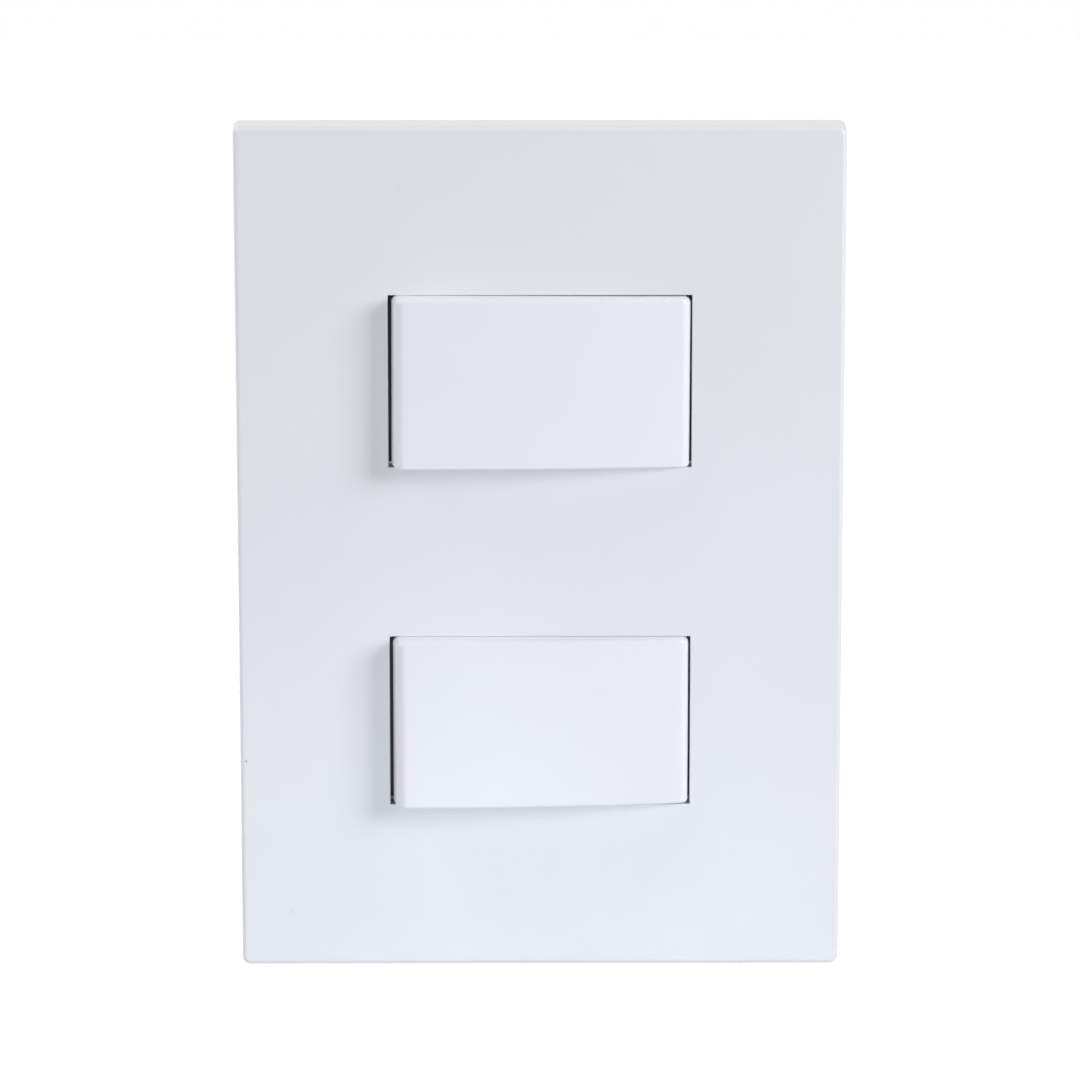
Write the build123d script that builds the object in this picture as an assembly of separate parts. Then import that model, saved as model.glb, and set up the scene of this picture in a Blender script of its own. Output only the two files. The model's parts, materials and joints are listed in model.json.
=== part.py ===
from build123d import *
from math import atan, cos, degrees, radians, sin
import os

# Wall light switch: a snap-on face plate, a mounting frame and two rocker modules.
# Sizes are in millimetres and degrees. x runs to the right and z up. h is the height
# off the wall, towards the room, so h = -y. The origin is the plate's centre on the wall.

# Depth of the layers between the wall and the plate's front face
FRAME_THICKNESS = 3.0
FLANGE_THICKNESS = 1.5
PLATE_GAP = 1.0  # module flange to the inside of the plate
PLATE_FRONT_WALL = 2.0

# Face plate
PLATE_WIDTH = 85.6  # outline on the wall
PLATE_HEIGHT = 119.6
PLATE_TAPER = 0.5  # each side leans in by this from the wall to the front
PLATE_EDGE = 0.7  # radius of the front edges and the corners
PLATE_SIDE_WALL = 1.8
OPENING_EDGE = 0.2
NOTCH_WIDTH = 10.0  # pry notch in the lower side wall
NOTCH_DEPTH = 1.6
SUPPORT_RIB = 1.2
SUPPORT_RIB_INSET = 4.0  # rib centre to the frame's side edge
SUPPORT_RIB_CLEARANCE = 0.2

# Plate hooks and the frame slots that hold them
HOOK_SPACING = 40.0
HOOK_WIDTH = 6.0
HOOK_ARM = 1.4
HOOK_BARB = 0.8
HOOK_INSET = 4.6  # inner face of the hook to the frame's end edge
HOOK_CLEARANCE = 0.3
CATCH_DEPTH = 1.2  # rear recesses of the frame that the barbs catch in
CATCH_CLEARANCE = 0.1

# Mounting frame
FRAME_SIDE_GAP = 4.7  # frame edge to the plate's side wall
FRAME_CORNER = 4.0
POSITIONS = 3  # module positions, the middle one closed by a web
WINDOW_CLEARANCE = 0.2
WINDOW_END_CLEARANCE = 0.3
GUIDE_LIP = 1.2  # width and height of the lips beside the module flanges
SCREW_MARGIN = 5.45  # window edge to the box screw's centre
SLOT_TRAVEL = 4.0

# Box screws
BOX_SCREW_RADIUS = 1.75
BOX_SCREW_LENGTH = 22.0  # thread behind the wall plane
BOX_SCREW_NECK = 1.55
BOX_SCREW_HEAD_RADIUS = 3.2
BOX_SCREW_HEAD_HEIGHT = 2.0
SCREW_SLOT_CLEARANCE = 0.25
DRIVER_SLOT = 0.9
DRIVER_SLOT_DEPTH = 0.8

# Rocker modules
MODULE_PITCH = 24.0
SWITCHES = {"upper": 1, "lower": -1}  # module position, counted from the middle one
MODULE_CLEARANCE = 0.15  # carrier to the edge of its module position

# Keys
KEY_LENGTH = 41.3  # at the skirt's rear edge
KEY_LEAN = 0.2  # each end leans in by this from the skirt to the front
KEY_HEIGHT_CLEARANCE = 0.08  # key to the edge of its module position
KEY_END_CLEARANCE = 0.45  # swing of the ends to the opening
KEY_SIDE_CLEARANCE = 0.1  # key to the opening above and below
KEY_PROUD = 2.45  # key end in front of the plate when the key is level
KEY_CROWN = 0.9
KEY_EDGE = 0.55  # radius of the front edges and the corners
KEY_CAP = 1.8
KEY_SKIRT = 1.5
KEY_TILT = 5.0  # each way from level
PIVOT_INSET = 2.5  # plate front to the pivot axis
SKIRT_LIFT = 0.1  # skirt's rear edge in front of the pivot axis
TRUNNION_RADIUS = 1.2
TRUNNION_CLEARANCE = 0.05
TRUNNION_SHORT = 0.2  # trunnion end inside the lug's outer face
KEY_RIB = 1.5
KEY_RIB_FOOT = 1.6  # half width at the trunnion, and reach behind it
KEY_RIB_SPREAD = 5.0
KEY_RIB_CLEARANCE = 0.5
TUBE_WALL = 1.3
TUBE_REACH = 7.5  # pivot axis to the open end of the plunger tube

# Carriers
RIM_OFFSET = 0.5  # opening edge to the rim behind it
RIM_WALL = 0.7
RIM_CLEARANCE = 0.1
FLANGE_REACH = 2.0  # flange beyond the window's edge
FLANGE_CLEARANCE = 0.2
FLOOR_THICKNESS = 1.5
FLOOR_CLEARANCE = 0.3
FLOOR_OPENING_GAP = 1.2  # plunger tube to the floor's opening
LUG_THICKNESS = 2.0
LUG_WIDTH = 4.4
LUG_CROWN = 1.9  # pivot axis to the lug's top
LUG_SNAP = 0.3  # snap-in mouth narrower than the trunnion on each side
LUG_SKIRT_GAP = 1.35
BARB_LEG = 1.2
BARB_REACH = 0.9
BARB_WIDTH = 8.0
BARB_CLEARANCE = 0.25
CLIP_THICKNESS = 0.6
CLIP_WIDTH = 8.0
CLIP_LENGTH = 5.5
CLIP_WINDOW = 2.0
CLIP_MARGIN = 1.5  # window to the clip's end and sides
CLIP_CLEARANCE = 0.05
NUB_CLEARANCE = 0.2

# Plungers and springs
PLUNGER_WIDTH = 4.0
PLUNGER_CLEARANCE = 0.1
PLUNGER_REACH = 12.0  # pivot axis to the plunger's tip
PLUNGER_LENGTH = 8.5  # tip to the spring's shoulder
SPIGOT_WIDTH = 1.7
SPIGOT_LENGTH = 2.0
WIRE_RADIUS = 0.25
WIRE_SIDES = 4
SPRING_TURNS = 4
COIL_SIDES = 12  # straight runs in one turn
SPRING_BORE_CLEARANCE = 0.3
SPRING_END_CLEARANCE = 0.05

# Contact blades and contacts
BLADE_ARM = 10.0
BLADE_WIDTH = 6.0
BLADE_THICKNESS = 0.8
BLADE_CORNER = 1.0
BLADE_TILT = 8.0  # each way from level
TIP_CLEARANCE = 0.1
STOP_CLEARANCE = 0.1
FULCRUM_RADIUS = 0.4
FULCRUM_CLEARANCE = 0.05
CONTACT_ARM = 8.0
CONTACT_WIDTH = 3.0
CONTACT_HEIGHT = 0.7
CONTACT_CROWN = 4.0  # radius of the moving contact's crown
CONTACT_BEVEL = 0.3
CONTACT_GAP = 0.1  # between the closed contacts

# Terminals and their screws
PILLAR_X = 14.5
PILLAR_LENGTH = 6.8
PILLAR_WIDTH = 7.0
PILLAR_DEPTH = 8.5
STRIP_THICKNESS = 1.0
STRIP_TAIL = 1.4  # strip past the fulcrum
TAB_MARGIN = 0.6  # tab beside the fixed contact
CLAMP_WINDOW = 3.6  # square window for the wire
CLAMP_END = 1.0
ENTRY_RADIUS = 1.8  # round wire hole in the base
TERMINAL_SCREW_RADIUS = 1.75
TERMINAL_SCREW_CLEARANCE = 0.05
TERMINAL_SCREW_LENGTH = 3.2
TERMINAL_TIP_CLEARANCE = 0.1
ACCESS_CLEARANCE = 0.4

# Bases
BASE_WALL = 1.6
BASE_EDGE = 0.8
PILLAR_CLEARANCE = 0.5  # pillar to the base's end wall
POCKET_CLEARANCE = 0.2
POCKET_WALL = 1.0
POCKET_HEIGHT = 4.0
POST_HALF_WIDTH = 2.0
CHEEK_WALL = 1.0
CHEEK_HEIGHT = 1.6
CHEEK_CLEARANCE = 0.25

# Heights off the wall
PLATE_INSIDE = FRAME_THICKNESS + FLANGE_THICKNESS + PLATE_GAP
PLATE_FRONT = PLATE_INSIDE + PLATE_FRONT_WALL
PIVOT = PLATE_FRONT - PIVOT_INSET
KEY_END = PLATE_FRONT + KEY_PROUD
CAP_INSIDE = KEY_END + KEY_CROWN - KEY_CAP
SKIRT_REAR = PIVOT + SKIRT_LIFT
FLOOR_FRONT = SKIRT_REAR - KEY_LENGTH / 2 * sin(radians(KEY_TILT)) - FLOOR_CLEARANCE
FLOOR_REAR = FLOOR_FRONT - FLOOR_THICKNESS
SHOULDER = PIVOT - PLUNGER_REACH + PLUNGER_LENGTH
BLADE_PIVOT = PIVOT - PLUNGER_REACH - TIP_CLEARANCE - BLADE_THICKNESS
STRIP_FRONT = BLADE_PIVOT - BLADE_ARM * sin(radians(BLADE_TILT)) - STOP_CLEARANCE
STRIP_REAR = STRIP_FRONT - STRIP_THICKNESS
PILLAR_REAR = STRIP_FRONT - PILLAR_DEPTH
TERMINAL_SCREW_LEVEL = STRIP_FRONT - PILLAR_DEPTH / 2
BASE_REAR = PILLAR_REAR - BASE_WALL

# The crowned contact swings down to the fixed one as it closes
CROWN_CENTRE = CONTACT_CROWN - CONTACT_HEIGHT
FIXED_X = CONTACT_ARM * cos(radians(BLADE_TILT)) + CROWN_CENTRE * sin(radians(BLADE_TILT))
CROWN_DROP = CONTACT_ARM * sin(radians(BLADE_TILT)) - CROWN_CENTRE * cos(radians(BLADE_TILT))
FIXED_FRONT = BLADE_PIVOT - CROWN_DROP - CONTACT_CROWN - CONTACT_GAP
TAB_FRONT = FIXED_FRONT - CONTACT_HEIGHT
TAB_REAR = TAB_FRONT - STRIP_THICKNESS
TAB_END = FIXED_X - CONTACT_WIDTH / 2 - TAB_MARGIN
TAB_SIDE = CONTACT_WIDTH / 2 + TAB_MARGIN

# Widths and heights across the wall
KEY_HEIGHT = MODULE_PITCH - 2 * KEY_HEIGHT_CLEARANCE
OPENING_LENGTH = KEY_LENGTH + 2 * KEY_END_CLEARANCE
OPENING_HEIGHT = KEY_HEIGHT + 2 * KEY_SIDE_CLEARANCE
RIM_INSIDE = OPENING_LENGTH / 2 + RIM_OFFSET
CARRIER_END = RIM_INSIDE + RIM_WALL
CARRIER_SIDE = MODULE_PITCH / 2 - MODULE_CLEARANCE
WINDOW_END = POSITIONS * MODULE_PITCH / 2 + WINDOW_END_CLEARANCE
WINDOW_HEIGHT = MODULE_PITCH + 2 * WINDOW_END_CLEARANCE
WINDOW_SIDE = CARRIER_END + WINDOW_CLEARANCE
FLANGE_END = WINDOW_SIDE + FLANGE_REACH
FRAME_INSET = PLATE_SIDE_WALL + PLATE_TAPER + FRAME_SIDE_GAP
FRAME_WIDTH = PLATE_WIDTH - 2 * FRAME_INSET
FRAME_HEIGHT = PLATE_HEIGHT - 2 * FRAME_INSET
HOOK_Z = FRAME_HEIGHT / 2 - HOOK_INSET
BOX_SCREW_Z = WINDOW_END + SCREW_MARGIN
LUG_OUTER = KEY_HEIGHT / 2 - KEY_SKIRT - LUG_SKIRT_GAP
LUG_INNER = LUG_OUTER - LUG_THICKNESS
KEY_RIB_OUTER = LUG_INNER - KEY_RIB_CLEARANCE
TUBE_BORE = PLUNGER_WIDTH + 2 * PLUNGER_CLEARANCE
TUBE_WIDTH = TUBE_BORE + 2 * TUBE_WALL
BASE_SIDE = CARRIER_SIDE - CLIP_THICKNESS - CLIP_CLEARANCE
PILLAR_INNER = PILLAR_X - PILLAR_LENGTH / 2
PILLAR_OUTER = PILLAR_X + PILLAR_LENGTH / 2
BASE_END = PILLAR_OUTER + PILLAR_CLEARANCE + BASE_WALL

SIDES = (-1, 1)


def rect(u0, u1, v0, v1):
    """Rectangle between two corners of a sketch."""
    return Pos((u0 + u1) / 2, (v0 + v1) / 2) * Rectangle(abs(u1 - u0), abs(v1 - v0))


def disc(u, v, radius):
    """Circle at a point of a sketch."""
    return Pos(u, v) * Circle(radius)


def level(h):
    """Plane parallel to the wall, drawn in x and z."""
    return Plane.XZ.offset(h)


def off_wall(sketch, h0, h1):
    """Solid from a sketch in x and z, between two heights off the wall."""
    return extrude(level(h0) * sketch, h1 - h0, dir=level(h0).z_dir)


def along_z(sketch, z0, z1):
    """Solid from a sketch in x and h, between two places on z."""
    plane = Plane(origin=(0, 0, z1), x_dir=(1, 0, 0), z_dir=(0, 0, -1))
    return extrude(plane * sketch, z1 - z0, dir=plane.z_dir)


def along_x(sketch, x0, x1):
    """Solid from a sketch in z and h, between two places on x."""
    start, end = min(x0, x1), max(x0, x1)
    plane = Plane(origin=(start, 0, 0), x_dir=(0, 0, 1), z_dir=(1, 0, 0))
    return extrude(plane * sketch, end - start, dir=plane.z_dir)


def barb_outline(start, arm, barb, root, catch, tip):
    """Outline of a snap arm that runs from root down to tip, with its barb beside catch."""
    out = 1 if arm > 0 else -1
    edge = start + arm
    nose = edge + out * barb
    wedge = (catch + tip) / 2
    return Polygon(
        (start, root), (start, tip), (edge, tip), (nose, wedge), (nose, catch), (edge, catch), (edge, root),
        align=None,
    )


def face_plate():
    """Moulded cover: tapered shell, key openings, snap hooks, support ribs and pry notch."""
    lean = degrees(atan(PLATE_TAPER / PLATE_FRONT))
    outline = Rectangle(PLATE_WIDTH, PLATE_HEIGHT)
    inside = Rectangle(PLATE_WIDTH - 2 * PLATE_SIDE_WALL, PLATE_HEIGHT - 2 * PLATE_SIDE_WALL)
    plate = extrude(level(0) * outline, PLATE_FRONT, taper=lean)
    rear_edges = plate.faces().sort_by(Axis.Y)[-1].edges()
    plate = fillet(plate.edges() - rear_edges, PLATE_EDGE)
    plate -= extrude(level(0) * inside, PLATE_INSIDE, taper=lean)
    for place in SWITCHES.values():
        opening = Pos(0, place * MODULE_PITCH) * Rectangle(OPENING_LENGTH, OPENING_HEIGHT)
        plate -= off_wall(opening, 0, PLATE_FRONT)
    front = plate.faces().sort_by(Axis.Y)[0]
    plate = chamfer(ShapeList(e for wire in front.inner_wires() for e in wire.edges()), OPENING_EDGE)

    tip = CATCH_CLEARANCE
    catch = CATCH_DEPTH - CATCH_CLEARANCE
    for end in SIDES:
        for side in SIDES:
            x = side * HOOK_SPACING / 2
            hook = barb_outline(end * HOOK_Z, end * HOOK_ARM, HOOK_BARB, PLATE_INSIDE, catch, tip)
            plate += along_x(hook, x - HOOK_WIDTH / 2, x + HOOK_WIDTH / 2)
    for side in SIDES:
        x = side * (FRAME_WIDTH / 2 - SUPPORT_RIB_INSET)
        rib = rect(x - SUPPORT_RIB / 2, x + SUPPORT_RIB / 2, -HOOK_Z, HOOK_Z)
        plate += off_wall(rib, FRAME_THICKNESS + SUPPORT_RIB_CLEARANCE, PLATE_INSIDE)
    notch = rect(-PLATE_HEIGHT / 2, -PLATE_HEIGHT / 2 + 2 * PLATE_SIDE_WALL, 0, NOTCH_DEPTH)
    return plate - along_x(notch, -NOTCH_WIDTH / 2, NOTCH_WIDTH / 2)


def mounting_frame():
    """Yoke with a window for each module, a web between them, screw slots and hook slots."""
    outline = chamfer(Rectangle(FRAME_WIDTH, FRAME_HEIGHT).vertices(), FRAME_CORNER)
    windows = Pos(0, MODULE_PITCH) * Rectangle(2 * WINDOW_SIDE, WINDOW_HEIGHT)
    windows += mirror(windows, Plane.XZ)
    frame = off_wall(outline - windows, 0, FRAME_THICKNESS)
    for side in SIDES:
        lip_x = side * (FLANGE_END + FLANGE_CLEARANCE)
        lip = rect(lip_x, lip_x + side * GUIDE_LIP, -WINDOW_END, WINDOW_END)
        frame += off_wall(lip, FRAME_THICKNESS, FRAME_THICKNESS + GUIDE_LIP)
        for place in SWITCHES.values():
            z = place * MODULE_PITCH
            reach = side * (WINDOW_SIDE + BARB_REACH + BARB_CLEARANCE)
            half = BARB_WIDTH / 2 + BARB_CLEARANCE
            frame -= off_wall(rect(side * WINDOW_SIDE, reach, z - half, z + half), 0, CATCH_DEPTH)
    for end in SIDES:
        z = end * BOX_SCREW_Z
        slot = SlotCenterToCenter(SLOT_TRAVEL, 2 * (BOX_SCREW_RADIUS + SCREW_SLOT_CLEARANCE))
        frame -= off_wall(Pos(0, z) * slot, 0, FRAME_THICKNESS)
        inner = end * (HOOK_Z - HOOK_CLEARANCE)
        outer = end * (HOOK_Z + HOOK_ARM + HOOK_CLEARANCE)
        for side in SIDES:
            left = side * HOOK_SPACING / 2 - HOOK_WIDTH / 2 - HOOK_CLEARANCE
            right = left + HOOK_WIDTH + 2 * HOOK_CLEARANCE
            frame -= off_wall(rect(left, right, inner, outer), 0, FRAME_THICKNESS)
            frame -= off_wall(rect(left, right, inner, outer + end * HOOK_BARB), 0, CATCH_DEPTH)
    return frame


def box_screw():
    """Slotted cheese-head screw with a reduced neck, standing off the wall on the h axis."""
    top = FRAME_THICKNESS + BOX_SCREW_HEAD_HEIGHT
    thread_start = -SCREW_SLOT_CLEARANCE
    screw = off_wall(Circle(BOX_SCREW_RADIUS), -BOX_SCREW_LENGTH, thread_start)
    screw += off_wall(Circle(BOX_SCREW_NECK), thread_start, FRAME_THICKNESS)
    screw += off_wall(Circle(BOX_SCREW_HEAD_RADIUS), FRAME_THICKNESS, top)
    slot = Rectangle(2 * BOX_SCREW_HEAD_RADIUS, DRIVER_SLOT)
    return screw - off_wall(slot, top - DRIVER_SLOT_DEPTH, top)


def key_profile(inset, drop):
    """Outline of a level key in x and h, in from the ends by inset and lower by drop."""
    half_rear = KEY_LENGTH / 2 - inset
    half_front = half_rear - KEY_LEAN
    front = KEY_END - drop
    rear = SKIRT_REAR - inset
    crown = ThreePointArc((-half_front, front), (0, front + KEY_CROWN), (half_front, front))
    sides = Polyline((half_front, front), (half_rear, rear), (-half_rear, rear), (-half_front, front))
    return make_face([crown, sides])


def tilted(shape):
    """A key piece at the photographed position, left end out."""
    return shape.rotate(Axis((0, -PIVOT, 0), (0, 0, 1)), KEY_TILT)


def key():
    """Crowned hollow rocker with trunnion ribs and a plunger tube."""
    block = along_z(key_profile(0, 0), -KEY_HEIGHT / 2, KEY_HEIGHT / 2)
    rear_edges = block.faces().sort_by(Axis.Y)[-1].edges()
    cap = fillet(block.edges() - rear_edges, KEY_EDGE)
    cap -= along_z(key_profile(KEY_SKIRT, KEY_CAP), KEY_SKIRT - KEY_HEIGHT / 2, KEY_HEIGHT / 2 - KEY_SKIRT)
    foot = PIVOT - KEY_RIB_FOOT
    rib = Polygon(
        (-KEY_RIB_SPREAD, KEY_END), (KEY_RIB_SPREAD, KEY_END), (KEY_RIB_FOOT, PIVOT),
        (KEY_RIB_FOOT / 2, foot), (-KEY_RIB_FOOT / 2, foot), (-KEY_RIB_FOOT, PIVOT),
        align=None,
    )
    for side in SIDES:
        inner, outer = sorted((side * (KEY_RIB_OUTER - KEY_RIB), side * KEY_RIB_OUTER))
        cap += along_z(rib, inner, outer)
        pin = sorted((side * KEY_RIB_OUTER, side * (LUG_OUTER - TRUNNION_SHORT)))
        cap += along_z(disc(0, PIVOT, TRUNNION_RADIUS), *pin)
    cap += off_wall(Rectangle(TUBE_WIDTH, TUBE_WIDTH), PIVOT - TUBE_REACH, KEY_END)
    return tilted(cap - off_wall(Rectangle(TUBE_BORE, TUBE_BORE), PIVOT - TUBE_REACH, CAP_INSIDE))


def carrier():
    """Front tray: floor, end rims and flanges, trunnion lugs, frame barbs and base clips."""
    section = rect(-CARRIER_END, CARRIER_END, FLOOR_REAR, FLOOR_FRONT)
    flange_front = FRAME_THICKNESS + FLANGE_THICKNESS
    for side in SIDES:
        section += rect(side * RIM_INSIDE, side * CARRIER_END, FLOOR_REAR, PLATE_INSIDE - RIM_CLEARANCE)
        section += rect(side * RIM_INSIDE, side * FLANGE_END, FRAME_THICKNESS, flange_front)
    tray = along_z(section, -CARRIER_SIDE, CARRIER_SIDE)
    opening = TUBE_WIDTH + 2 * FLOOR_OPENING_GAP
    tray -= off_wall(Rectangle(opening, opening), FLOOR_REAR, FLOOR_FRONT)
    lug = Polygon(
        (-LUG_WIDTH / 2, FLOOR_FRONT), (LUG_WIDTH / 2, FLOOR_FRONT), (LUG_WIDTH / 2, PIVOT),
        (LUG_WIDTH / 4, PIVOT + LUG_CROWN), (-LUG_WIDTH / 4, PIVOT + LUG_CROWN), (-LUG_WIDTH / 2, PIVOT),
        align=None,
    )
    lug -= disc(0, PIVOT, TRUNNION_RADIUS + TRUNNION_CLEARANCE)
    mouth = TRUNNION_RADIUS - LUG_SNAP
    lug -= rect(-mouth, mouth, PIVOT, PIVOT + LUG_CROWN)
    catch = CATCH_DEPTH - CATCH_CLEARANCE
    for side in SIDES:
        tray += along_z(lug, *sorted((side * LUG_INNER, side * LUG_OUTER)))
        leg_start = side * (CARRIER_END - BARB_LEG)
        leg = barb_outline(leg_start, side * BARB_LEG, BARB_REACH, FLOOR_FRONT, catch, CATCH_CLEARANCE)
        tray += along_z(leg, -BARB_WIDTH / 2, BARB_WIDTH / 2)
        foot = FLOOR_REAR - CLIP_LENGTH
        clip = rect(side * (CARRIER_SIDE - CLIP_THICKNESS), side * CARRIER_SIDE, foot, FLOOR_REAR)
        tray += along_x(clip, -CLIP_WIDTH / 2, CLIP_WIDTH / 2)
        hole = rect(0, side * CARRIER_SIDE, foot + CLIP_MARGIN, foot + CLIP_MARGIN + CLIP_WINDOW)
        tray -= along_x(hole, CLIP_MARGIN - CLIP_WIDTH / 2, CLIP_WIDTH / 2 - CLIP_MARGIN)
    return tray


def base():
    """Mechanism box: walls, terminal pockets, fulcrum and tab posts, entries and clip nubs."""
    cavity = Rectangle(2 * (BASE_END - BASE_WALL), 2 * (BASE_SIDE - BASE_WALL))
    box = off_wall(Rectangle(2 * BASE_END, 2 * BASE_SIDE), BASE_REAR, FLOOR_REAR)
    box = chamfer(box.edges() - box.faces().sort_by(Axis.Y)[0].edges(), BASE_EDGE)
    box -= off_wall(cavity, PILLAR_REAR, FLOOR_REAR)

    strip_side = BLADE_WIDTH / 2
    cheek = strip_side + CHEEK_CLEARANCE
    post = rect(-POST_HALF_WIDTH, POST_HALF_WIDTH, -cheek - CHEEK_WALL, cheek + CHEEK_WALL)
    groove = rect(-POST_HALF_WIDTH, POST_HALF_WIDTH, -cheek, cheek)
    box += off_wall(post, PILLAR_REAR, STRIP_FRONT + CHEEK_HEIGHT)
    box -= off_wall(groove, STRIP_REAR, STRIP_FRONT + CHEEK_HEIGHT)
    box += off_wall(rect(TAB_END, FIXED_X, -TAB_SIDE, TAB_SIDE), PILLAR_REAR, TAB_REAR)

    inner = PILLAR_INNER - POCKET_CLEARANCE
    pocket_side = PILLAR_WIDTH / 2 + POCKET_CLEARANCE
    reach = TERMINAL_SCREW_RADIUS + ACCESS_CLEARANCE
    access = rect(-reach, reach, TERMINAL_SCREW_LEVEL - reach, TERMINAL_SCREW_LEVEL + reach)
    for side in SIDES:
        wall = rect(side * (inner - POCKET_WALL), side * (BASE_END - BASE_WALL),
                    -pocket_side - POCKET_WALL, pocket_side + POCKET_WALL)
        wall -= rect(side * inner, side * (BASE_END - BASE_WALL), -pocket_side, pocket_side)
        box += off_wall(wall, PILLAR_REAR, PILLAR_REAR + POCKET_HEIGHT)
        box -= off_wall(disc(side * PILLAR_X, 0, ENTRY_RADIUS), BASE_REAR, PILLAR_REAR)
        box -= along_x(access, side * (BASE_END - BASE_WALL), side * BASE_END)
        foot = FLOOR_REAR - CLIP_LENGTH + CLIP_MARGIN + NUB_CLEARANCE
        top = foot + CLIP_WINDOW - 2 * NUB_CLEARANCE
        nub = Polygon(
            (side * BASE_SIDE, foot), (side * (BASE_SIDE + CLIP_THICKNESS), top), (side * BASE_SIDE, top),
            align=None,
        )
        half = CLIP_WIDTH / 2 - CLIP_MARGIN - NUB_CLEARANCE
        box += along_x(nub, -half, half)
    return box


def plunger():
    """Square plunger with a round nose, and a spigot for its spring."""
    half = PLUNGER_WIDTH / 2
    nose = PIVOT - PLUNGER_REACH + half
    bar = along_z(rect(-half, half, nose, SHOULDER) + disc(0, nose, half), -half, half)
    spigot = off_wall(Rectangle(SPIGOT_WIDTH, SPIGOT_WIDTH), SHOULDER, SHOULDER + SPIGOT_LENGTH)
    return tilted(bar + spigot)


def spring():
    """Coil spring between the plunger's shoulder and the roof of the key's tube."""
    end = WIRE_RADIUS + SPRING_END_CLEARANCE
    length = CAP_INSIDE - SHOULDER - 2 * end
    radius = TUBE_BORE / 2 - SPRING_BORE_CLEARANCE - WIRE_RADIUS
    runs = SPRING_TURNS * COIL_SIDES
    corners = []
    for step in range(runs + 1):
        turn = radians(360 * step / COIL_SIDES)
        h = SHOULDER + end + length * step / runs
        corners.append((radius * cos(turn), -h, radius * sin(turn)))
    path = Polyline(*corners)
    wire = Plane(origin=path @ 0, z_dir=path % 0) * RegularPolygon(WIRE_RADIUS, WIRE_SIDES)
    return tilted(sweep(wire, path=path, transition=Transition.RIGHT))


def tipped(shape):
    """A blade piece at the photographed position, left arm towards the wall."""
    return shape.rotate(Axis((0, -BLADE_PIVOT, 0), (0, 0, 1)), -BLADE_TILT)


def blade():
    """Seesaw contact blade with a groove for its fulcrum."""
    strip = off_wall(Rectangle(2 * BLADE_ARM, BLADE_WIDTH), BLADE_PIVOT, BLADE_PIVOT + BLADE_THICKNESS)
    strip = chamfer(strip.edges().filter_by(Axis.Y), BLADE_CORNER)
    groove = disc(0, BLADE_PIVOT, FULCRUM_RADIUS + FULCRUM_CLEARANCE)
    return tipped(strip - along_z(groove, -BLADE_WIDTH / 2, BLADE_WIDTH / 2))


def moving_contact():
    """Crowned contact pad under the blade's right arm."""
    half = CONTACT_WIDTH / 2
    pad = rect(CONTACT_ARM - half, CONTACT_ARM + half, BLADE_PIVOT - CONTACT_HEIGHT, BLADE_PIVOT)
    pad &= disc(CONTACT_ARM, BLADE_PIVOT + CROWN_CENTRE, CONTACT_CROWN)
    return tipped(along_z(pad, -half, half))


def fixed_contact():
    """Bevelled contact pad on the load terminal's tab."""
    pad = off_wall(Pos(FIXED_X, 0) * Rectangle(CONTACT_WIDTH, CONTACT_WIDTH), TAB_FRONT, FIXED_FRONT)
    return chamfer(pad.faces().sort_by(Axis.Y)[0].edges(), CONTACT_BEVEL)


def pillar(side):
    """Terminal clamp with a square wire window and a hole for its screw."""
    outline = Pos(side * PILLAR_X, 0) * Rectangle(PILLAR_LENGTH, PILLAR_WIDTH)
    block = off_wall(outline, PILLAR_REAR, STRIP_FRONT)
    window = Pos(side * PILLAR_X, 0) * Rectangle(CLAMP_WINDOW, CLAMP_WINDOW)
    block -= off_wall(window, PILLAR_REAR, STRIP_FRONT - CLAMP_END)
    thread = disc(0, TERMINAL_SCREW_LEVEL, TERMINAL_SCREW_RADIUS + TERMINAL_SCREW_CLEARANCE)
    return block - along_x(thread, side * PILLAR_X, side * PILLAR_OUTER)


def common_terminal():
    """Left pillar with the strip and fulcrum that carry the blade."""
    half = BLADE_WIDTH / 2
    strip = off_wall(rect(-PILLAR_INNER, STRIP_TAIL, -half, half), STRIP_REAR, STRIP_FRONT)
    ridge = rect(-FULCRUM_RADIUS, FULCRUM_RADIUS, STRIP_FRONT, BLADE_PIVOT)
    ridge += disc(0, BLADE_PIVOT, FULCRUM_RADIUS)
    return pillar(-1) + strip + along_z(ridge, -half, half)


def load_terminal():
    """Right pillar with the tab that carries the fixed contact."""
    return pillar(1) + off_wall(rect(TAB_END, PILLAR_INNER, -TAB_SIDE, TAB_SIDE), TAB_REAR, TAB_FRONT)


def terminal_screw(side):
    """Slotted headless clamp screw, backed off until its tip clears the wire window."""
    tip = side * (PILLAR_X + CLAMP_WINDOW / 2 + TERMINAL_TIP_CLEARANCE)
    top = tip + side * TERMINAL_SCREW_LENGTH
    screw = along_x(disc(0, TERMINAL_SCREW_LEVEL, TERMINAL_SCREW_RADIUS), tip, top)
    slot = rect(-TERMINAL_SCREW_RADIUS, TERMINAL_SCREW_RADIUS,
                TERMINAL_SCREW_LEVEL - DRIVER_SLOT / 2, TERMINAL_SCREW_LEVEL + DRIVER_SLOT / 2)
    return screw - along_x(slot, top - side * DRIVER_SLOT_DEPTH, top)


def module():
    """Pieces of one rocker module by name, centred on its position."""
    return {
        "key": key(),
        "carrier": carrier(),
        "base": base(),
        "plunger": plunger(),
        "spring": spring(),
        "blade": blade(),
        "moving_contact": moving_contact(),
        "fixed_contact": fixed_contact(),
        "common_terminal": common_terminal(),
        "load_terminal": load_terminal(),
        "common_screw": terminal_screw(-1),
        "load_screw": terminal_screw(1),
    }


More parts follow.
